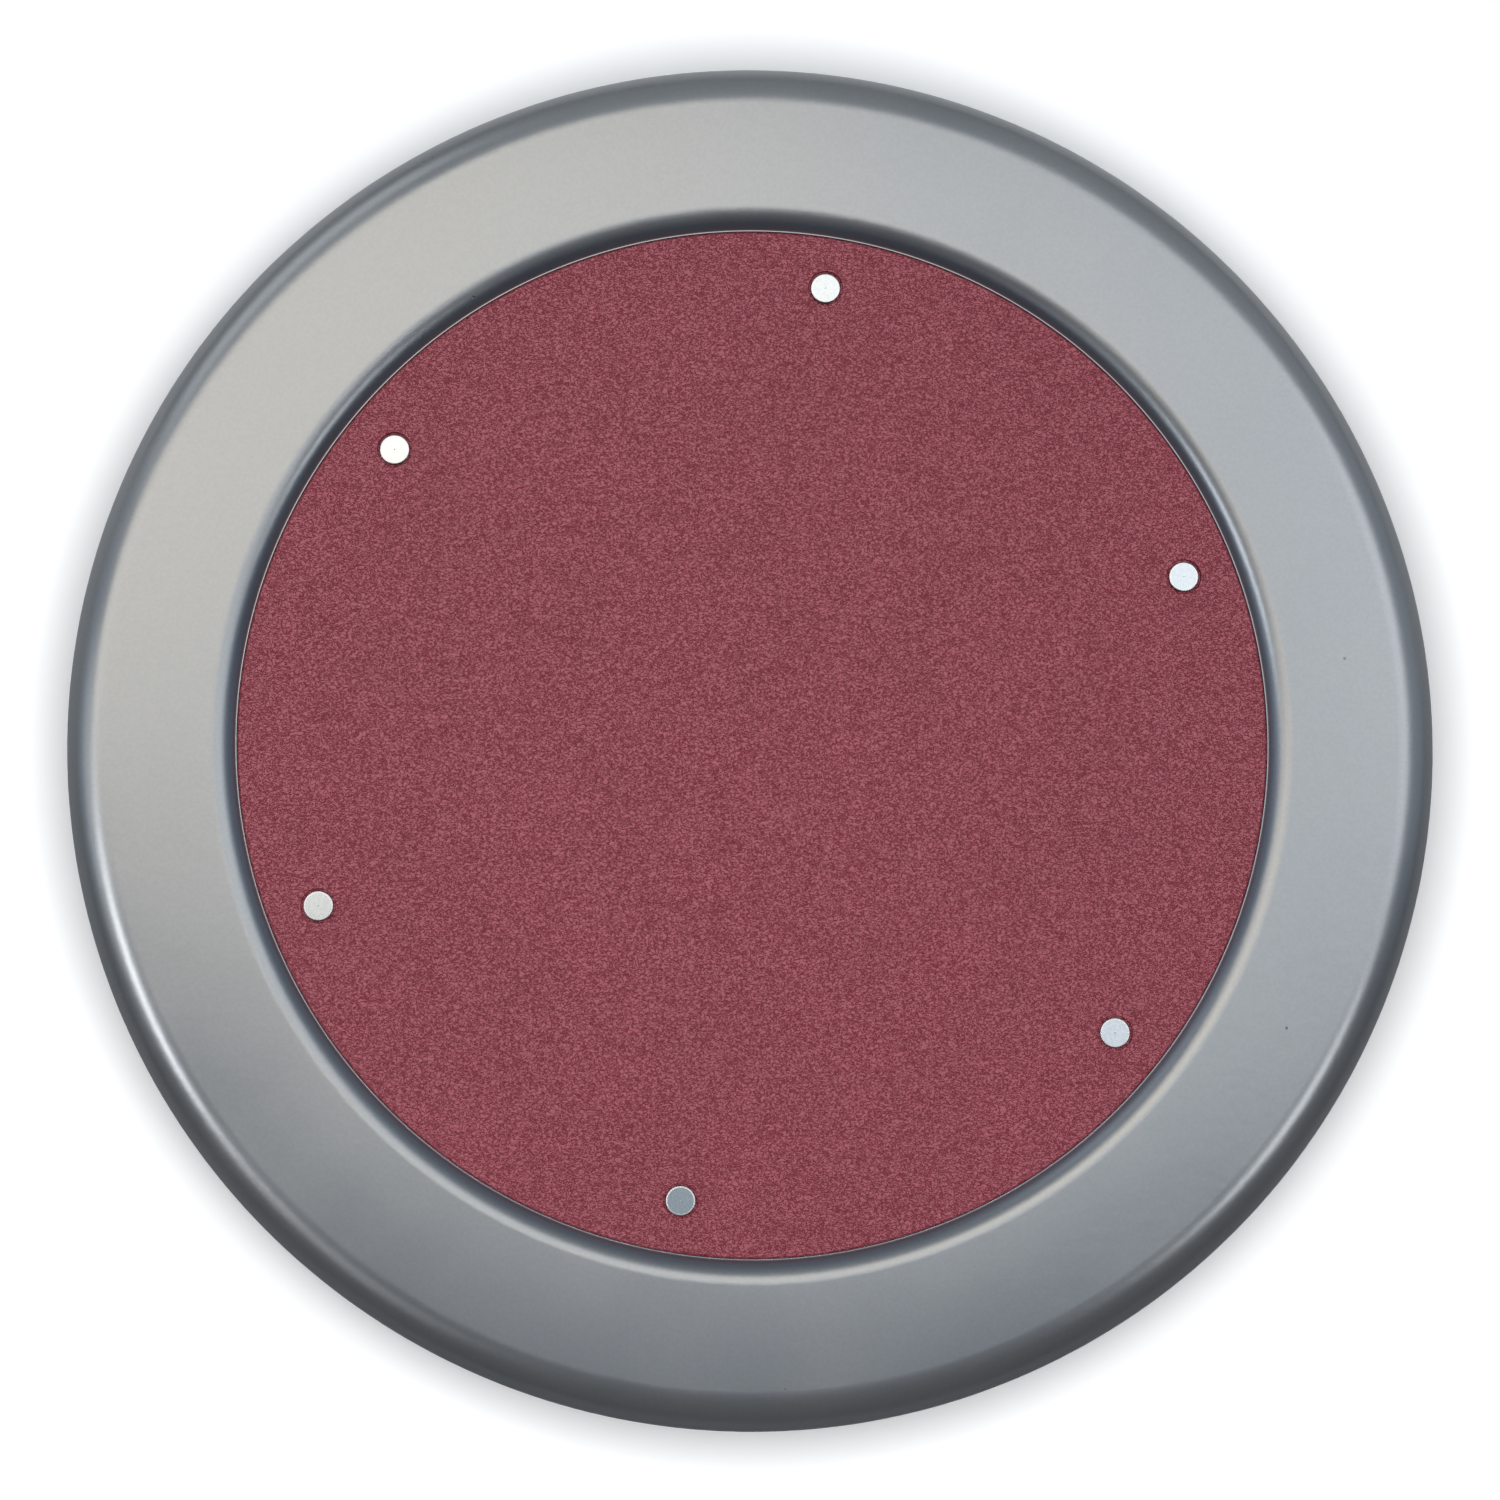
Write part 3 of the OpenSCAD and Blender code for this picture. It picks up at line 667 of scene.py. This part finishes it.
def drill_tree():
    """Geometry Nodes that cut one object's shape out of another."""
    tree, add, join, given, result = new_tree("drilled", [("Cutter", "Object")])
    cutter = add("GeometryNodeObjectInfo")
    cut = add("GeometryNodeMeshBoolean", operation="DIFFERENCE", solver="EXACT")
    join(given["Cutter"], cutter.inputs["Object"])
    join(given["Geometry"], cut.inputs["Mesh 1"])
    join(cutter.outputs["Geometry"], cut.inputs["Mesh 2"])
    join(cut.outputs["Mesh"], result["Geometry"])
    return tree


TURNED, SET_ROUND, DRILLED = turned_tree(), ring_tree(), drill_tree()


def turned(name, outline, segments, material):
    """A closed solid turned from an outline of (radius, height) points."""
    thing = drawn_object(name, [(radius, -height, 0) for radius, height in outline],
                         [(index, (index + 1) % len(outline)) for index in range(len(outline))])
    modifier = thing.modifiers.new("turned", "NODES")
    modifier.node_group = TURNED
    set_inputs(modifier, Segments=segments, Material=material)
    return settled(thing)


def set_round(thing, count, circle_radius, turn_degrees, material):
    """Copies of a piece made on the axis, set round a circle as one mesh."""
    modifier = thing.modifiers.new("set_round", "NODES")
    modifier.node_group = SET_ROUND
    set_inputs(modifier, Count=count, Circle_Radius=circle_radius,
               Turn=math.radians(turn_degrees), Material=material)
    return settled(thing)


def drilled(thing, *cutters):
    """Cuts each cutter out of a piece, and takes the cutters away."""
    for cutter in cutters:
        modifier = thing.modifiers.new("drilled", "NODES")
        modifier.node_group = DRILLED
        set_inputs(modifier, Cutter=cutter)
    settled(thing)
    for cutter in cutters:
        bpy.data.objects.remove(cutter)
    return thing


def drill_bit(name, diameter, low, high, count, circle_radius, turn_degrees):
    """A ring of round cutters from one height to another."""
    radius = diameter / 2
    outline = [(0, low), (radius, low), (radius, high), (0, high)]
    bit = turned(name, outline, DRILL_SEGMENTS, rim_grey)
    return set_round(bit, count, circle_radius, turn_degrees, rim_grey)


def arc(centre, radius, start, stop):
    """A rounded corner of a turned outline, as (radius, height) points."""
    points = []
    for step in range(ROUND_STEPS + 1):
        angle = math.radians(start + (stop - start) * step / ROUND_STEPS)
        points.append((centre[0] + radius * math.cos(angle), centre[1] + radius * math.sin(angle)))
    return points


def distance_out(add, join, place):
    """How far a place is from the Z axis, as an output."""
    level = add("ShaderNodeVectorMath", operation="MULTIPLY")
    level.inputs[1].default_value = (1, 1, 0)
    join(place, level.inputs[0])
    length = add("ShaderNodeVectorMath", operation="LENGTH")
    join(level.outputs[0], length.inputs[0])
    return length.outputs["Value"]


def metallic_grey():
    """Semi-gloss grey moulding: metallic pigment, orange peel, a few pits; painted shade in the
    pits and by the lip.
    """
    material, add, join, surface, place = new_finish("metallic_grey_moulding", 0.88)
    surface["IOR"].default_value = 1.5
    clouds = stipple(add, join, 9, 4, 0.55, place)
    grain = stipple(add, join, 520, 1, 0.5, place)
    tone = ramp(add, join, clouds.outputs["Fac"],
                [(0.30, (0.375, 0.392, 0.410)), (0.70, (0.410, 0.425, 0.440))])
    flecks = ramp(add, join, grain.outputs["Fac"], [(0.35, 0.95), (0.65, 1.04)])
    pigment = blended(add, join, "MULTIPLY", 0.55, tone.outputs[0], flecks.outputs[0])

    pits = add("ShaderNodeTexVoronoi")
    pits.inputs["Scale"].default_value = 55
    join(place, pits.inputs["Vector"])
    chosen = add("ShaderNodeSeparateXYZ")
    join(pits.outputs["Color"], chosen.inputs[0])
    few = ramp(add, join, chosen.outputs["X"], [(0.95, 0.0), (0.96, 1.0)])
    spot = ramp(add, join, pits.outputs["Distance"], [(0.035, 1.0), (0.065, 0.0)])
    pit = blended(add, join, "MULTIPLY", 1.0, few.outputs[0], spot.outputs[0])

    # Painted shade: a band of the rim's colour just out from the recess edge, on the steep lip
    # beside the tread, is darkened and tinted blue-grey; the thin shoulder at the edge stays
    # bright.
    from_recess = share_between(add, join, distance_out(add, join, place),
                                recess_radius, recess_radius + LIP_SHADE_WIDTH)
    lip_shade = ramp(add, join, from_recess,
                 [(0.07, 1.0), (0.12, (0.50, 0.54, 0.61)), (0.42, (0.50, 0.54, 0.61)),
                  (0.70, (0.73, 0.75, 0.78)), (1.0, 1.0)])
    lip_shaded_pigment = blended(add, join, "MULTIPLY", 1.0, pigment, lip_shade.outputs[0])
    # Painted shade: each pinhole's colour is darkened to 0.45, on top of its dent in the bump and
    # its duller gloss.
    darkened = ramp(add, join, pit, [(0.0, 1.0), (1.0, 0.45)])
    join(blended(add, join, "MULTIPLY", 1.0, lip_shaded_pigment, darkened.outputs[0]), surface["Base Color"])
    gloss = ramp(add, join, clouds.outputs["Fac"], [(0.0, 0.24), (1.0, 0.36)])
    dulled = ramp(add, join, pit, [(0.0, 0.0), (1.0, 0.25)])
    join(blended(add, join, "ADD", 1.0, gloss.outputs[0], dulled.outputs[0]), surface["Roughness"])
    peel = stipple(add, join, 160, 1, 0.4, place)
    depth = ramp(add, join, pit, [(0.0, 1.0), (1.0, 0.0)])
    cut = relief(add, join, depth.outputs[0], 0.4, 0.0002)
    join(relief(add, join, peel.outputs["Fac"], 0.10, 0.0006, cut), surface["Normal"])
    return material


tread_low, tread_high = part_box("tread_plate")
recess_radius = tread_high.x + TREAD_GAP
rim_grey = metallic_grey()
deck_radius = rim_high.x
top, bottom = rim_high.z, rim_low.z
rim_middle = (bottom + top) / 2
middle = deck_radius - RIM_ROUND
flange_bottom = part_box("flange_sleeves")[0].z
foot_radius = recess_radius + FOOT_STEP
cover_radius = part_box("under_cover")[1].x
cover_seat = cover_radius + COVER_CLEARANCE
cover_top = bottom + COVER_SEAT_DEPTH
insert_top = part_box("cover_inserts")[1].z
foot_top = insert_top + INSERT_ROOF
lip_angle = math.radians(LIP_TURN)
lip_radius = recess_radius + LIP_SHOULDER + LIP_ROUND * math.sin(lip_angle)
shoulder_z = top - LIP_ROUND * (1 - math.cos(lip_angle))
rim_outline = (
    arc((middle, top - RIM_ROUND), RIM_ROUND, 90, 0)
    + [(deck_radius, rim_middle + PARTING_HALF_WIDTH), (deck_radius - PARTING_DEPTH, rim_middle),
       (deck_radius, rim_middle - PARTING_HALF_WIDTH)]
    + arc((middle, bottom + RIM_ROUND), RIM_ROUND, 0, -90)
    + [(cover_seat + EDGE_BREAK, bottom), (cover_seat, bottom + EDGE_BREAK),
       (cover_seat, cover_top), (foot_radius, cover_top), (foot_radius, flange_bottom),
       (recess_radius - FLANGE_WIDTH, flange_bottom), (recess_radius - FLANGE_WIDTH, tread_low.z),
       (recess_radius, tread_low.z), (recess_radius, shoulder_z - LIP_EDGE),
       (recess_radius + LIP_EDGE, shoulder_z)]
    + arc((lip_radius, top - LIP_ROUND), LIP_ROUND, 90 + LIP_TURN, 90))
inside_round = RIM_ROUND - RIM_WALL
inner_wall = foot_radius + RIM_WALL
roof, ground = top - RIM_WALL, bottom + RIM_WALL
hollow_foot = cover_radius + HOLLOW_FOOT_GAP
hollow_outline = (
    [(inner_wall, foot_top), (inner_wall, roof - HOLLOW_TOP_CORNER),
     (inner_wall + HOLLOW_TOP_CORNER, roof)]
    + arc((middle, top - RIM_ROUND), inside_round, 90, 0)
    + arc((middle, bottom + RIM_ROUND), inside_round, 0, -90)
    + [(hollow_foot + HOLLOW_FOOT_CORNER, ground), (hollow_foot, ground + HOLLOW_FOOT_CORNER),
       (hollow_foot, foot_top)])
rim_ring = turned("rim_moulding", rim_outline, RIM_SEGMENTS, rim_grey)
drilled(rim_ring,
        turned("rim_hollow", hollow_outline, RIM_SEGMENTS, rim_grey),
        drill_bit("sleeve_holes", SLEEVE_HOLE, flange_bottom - DRILL_OVERRUN,
                  tread_low.z + DRILL_OVERRUN, BOLT_COUNT, BOLT_CIRCLE, BOLT_TURN),
        drill_bit("insert_holes", INSERT_HOLE, cover_top - DRILL_OVERRUN,
                  insert_top + INSERT_OVERRUN, INSERT_COUNT, INSERT_CIRCLE, INSERT_TURN),
        drill_bit("vent_holes", VENT_HOLE, bottom - DRILL_OVERRUN, ground + DRILL_OVERRUN,
                  VENT_COUNT, VENT_CIRCLE, VENT_TURN))
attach(rim_ring, "deck")
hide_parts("rim_ring")

# ---------------------------------------------------------------- rim fittings
# Steel sleeves in the flange for the tread bolts, knurled brass inserts moulded into the foot for
# the cover's screws, and black plastic plugs that let the hollow rim breathe and drain.

brass = plain_finish(
    "brass_inserts", metallic=1.0, tones=((0.66, 0.46, 0.20), (0.78, 0.57, 0.27)),
    gloss=(0.24, 0.38), patches=160, grain=2400, depth=0.0001)
plug_black = plain_finish(
    "moulded_black_plastic", metallic=0.0, tones=((0.020, 0.020, 0.021), (0.032, 0.032, 0.034)),
    gloss=(0.40, 0.54), patches=60, grain=1500, depth=0.0002)
finish_nodes(zinc_plate, "flange_sleeves")
finish_nodes(brass, "cover_inserts")
finish_nodes(plug_black, "vent_plugs")

# ---------------------------------------------------------------- tread plate
# A solid compact sheet in burgundy with a fine wrinkled anti-slip emboss pressed into its face.
# It lies on the rim's flange and is drilled and counterbored for its bolts.


def burgundy_emboss():
    """Semi-matt burgundy with a fine irregular leather-like emboss, with painted shade in its
    valleys.
    """
    material, add, join, surface, place = new_finish("burgundy_anti_slip", 0.0)
    surface["IOR"].default_value = 1.5
    stretch = add("ShaderNodeMapping")
    stretch.inputs["Scale"].default_value = (0.82, 1.12, 1.0)
    join(place, stretch.inputs["Vector"])
    wrinkles = stipple(add, join, 640, 0.6, 0.5, stretch.outputs[0])
    wrinkles.inputs["Distortion"].default_value = 0.8
    ridges = ramp(add, join, wrinkles.outputs["Fac"],
                  [(0.36, 1.0), (0.44, 0.75), (0.50, 0.0), (0.56, 0.75), (0.64, 1.0)])
    mottle = stipple(add, join, 14, 3, 0.5, place)
    # Painted shade: the colour darkens from the ridges down into the valleys of the emboss, in
    # place of the emboss's own shading.
    tone = ramp(add, join, ridges.outputs[0],
                [(0.0, (0.112, 0.010, 0.018)), (0.75, (0.192, 0.035, 0.051)),
                 (1.0, (0.262, 0.069, 0.089))])
    faded = ramp(add, join, mottle.outputs["Fac"], [(0.35, 0.95), (0.65, 1.0)])
    join(blended(add, join, "MULTIPLY", 1.0, tone.outputs[0], faded.outputs[0]),
         surface["Base Color"])
    gloss = ramp(add, join, ridges.outputs[0], [(0.0, 0.60), (1.0, 0.42)])
    join(gloss.outputs[0], surface["Roughness"])
    join(relief(add, join, ridges.outputs[0], 0.9, 0.00030), surface["Normal"])
    return material


finish_nodes(burgundy_emboss(), "tread_plate")

# ---------------------------------------------------------------- tread bolts
# Six stainless M10 bolts with plain round heads, faced on a lathe, over a square neck that keeps
# them from turning. They go through the flange sleeves, and washers and lock nuts hold them below.

HEAD_RADIUS = 0.00875
HEAD_THICKNESS = 0.005
HEAD_EDGE = 0.0008
HEAD_SEGMENTS = 64
EDGE_BLEND = 0.0003
CENTRE_MARK = 0.0004
NECK_WIDTH = 0.010
NECK_LENGTH = 0.006
NECK_OVERLAP = 0.0002
SHANK_RADIUS = 0.005
THREAD_DEPTH = 0.0008
THREAD_PITCH = 0.0015
THREAD_LENGTH = 0.018


def faced_steel():
    """Bright stainless steel: facing rings round each head's own centre, a lighter and rougher
    ring near its edge, and water marks."""
    material, add, join, surface, place = new_finish("bright_bolt_heads", 1.0)
    own = add("ShaderNodeAttribute", attribute_name="own_place").outputs["Vector"]
    shade = add("ShaderNodeAttribute", attribute_name="own_shade").outputs["Fac"]
    rings = add("ShaderNodeTexWave", wave_type="RINGS", rings_direction="Z")
    rings.inputs["Scale"].default_value = 330
    rings.inputs["Distortion"].default_value = 0.4
    join(own, rings.inputs["Vector"])
    stains = stipple(add, join, 700, 3, 0.6, place)
    tone = ramp(add, join, stains.outputs["Fac"],
                [(0.36, (0.70, 0.75, 0.785)), (0.64, (0.775, 0.815, 0.84))])
    batch = ramp(add, join, shade, [(0.0, 0.93), (1.0, 1.0)])
    across = share_between(add, join, distance_out(add, join, own), 0.0, HEAD_RADIUS)
    # A lighter colour and a higher roughness are painted in a ring near each head's edge.
    light_edge_ring = ramp(add, join, across, [(0.85, 0.0), (0.90, 1.0), (0.955, 1.0), (1.0, 0.25)])
    faced = blended(add, join, "MULTIPLY", 1.0, tone.outputs[0], batch.outputs[0])
    join(blended(add, join, "ADD", 0.30, faced, light_edge_ring.outputs[0]), surface["Base Color"])
    shine = ramp(add, join, stains.outputs["Fac"], [(0.3, 0.23), (0.7, 0.19)])
    join(blended(add, join, "ADD", 0.22, shine.outputs[0], light_edge_ring.outputs[0]),
         surface["Roughness"])
    join(relief(add, join, rings.outputs["Fac"], 0.15, 0.00003), surface["Normal"])
    return material


def threaded_edge(radius, high, low):
    """The saw-toothed edge of a thread in a turned outline, from high to low."""
    points = []
    while high - THREAD_PITCH > low:
        points += [(radius, high), (radius - THREAD_DEPTH, high - THREAD_PITCH / 2)]
        high -= THREAD_PITCH
    return points + [(radius, high), (radius - THREAD_DEPTH, low)]


head_steel = faced_steel()
bolt_low, bolt_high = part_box("tread_bolts")
head_top = bolt_high.z
head_under = head_top - HEAD_THICKNESS
edge_round = []
for degrees in range(0, 91, 15):
    angle = math.radians(degrees)
    edge_round.append((HEAD_RADIUS - HEAD_EDGE * (1 - math.sin(angle)),
                       head_top - HEAD_EDGE * (1 - math.cos(angle))))
bolt_outline = (
    [(0, head_top - CENTRE_MARK), (CENTRE_MARK, head_top), (CENTRE_MARK + EDGE_BLEND, head_top),
     (HEAD_RADIUS - HEAD_EDGE - EDGE_BLEND, head_top)] + edge_round
    + [(HEAD_RADIUS, head_under + EDGE_BLEND), (HEAD_RADIUS - EDGE_BLEND, head_under),
       (SHANK_RADIUS, head_under)]
    + threaded_edge(SHANK_RADIUS, bolt_low.z + THREAD_LENGTH, bolt_low.z) + [(0, bolt_low.z)])
bolts = turned("tread_bolt_set", bolt_outline, HEAD_SEGMENTS, head_steel)
neck = bmesh.new()
neck.from_mesh(bolts.data)
neck_top = head_under + NECK_OVERLAP
neck_height = NECK_LENGTH + NECK_OVERLAP
for corner in bmesh.ops.create_cube(neck, size=1.0)["verts"]:
    corner.co = (corner.co.x * NECK_WIDTH, corner.co.y * NECK_WIDTH,
                 neck_top - (0.5 - corner.co.z) * neck_height)
neck.to_mesh(bolts.data)
neck.free()
set_round(bolts, BOLT_COUNT, BOLT_CIRCLE, BOLT_TURN, head_steel)
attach(bolts, "deck")
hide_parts("tread_bolts")
finish_nodes(zinc_plate, "tread_washers", "tread_lock_nuts")

# ---------------------------------------------------------------- under cover
# A spun aluminium sheet with one stiffening bead closes the deck from below. Twelve zinc-plated
# screws hold it in the rim's rebate.

mill_aluminium = plain_finish(
    "mill_finish_aluminium", metallic=1.0, tones=((0.62, 0.63, 0.64), (0.74, 0.75, 0.76)),
    gloss=(0.30, 0.46), patches=14, grain=700, depth=0.0001, stretch=(1, 24, 1))
finish_nodes(mill_aluminium, "under_cover")
finish_nodes(zinc_plate, "cover_screws")
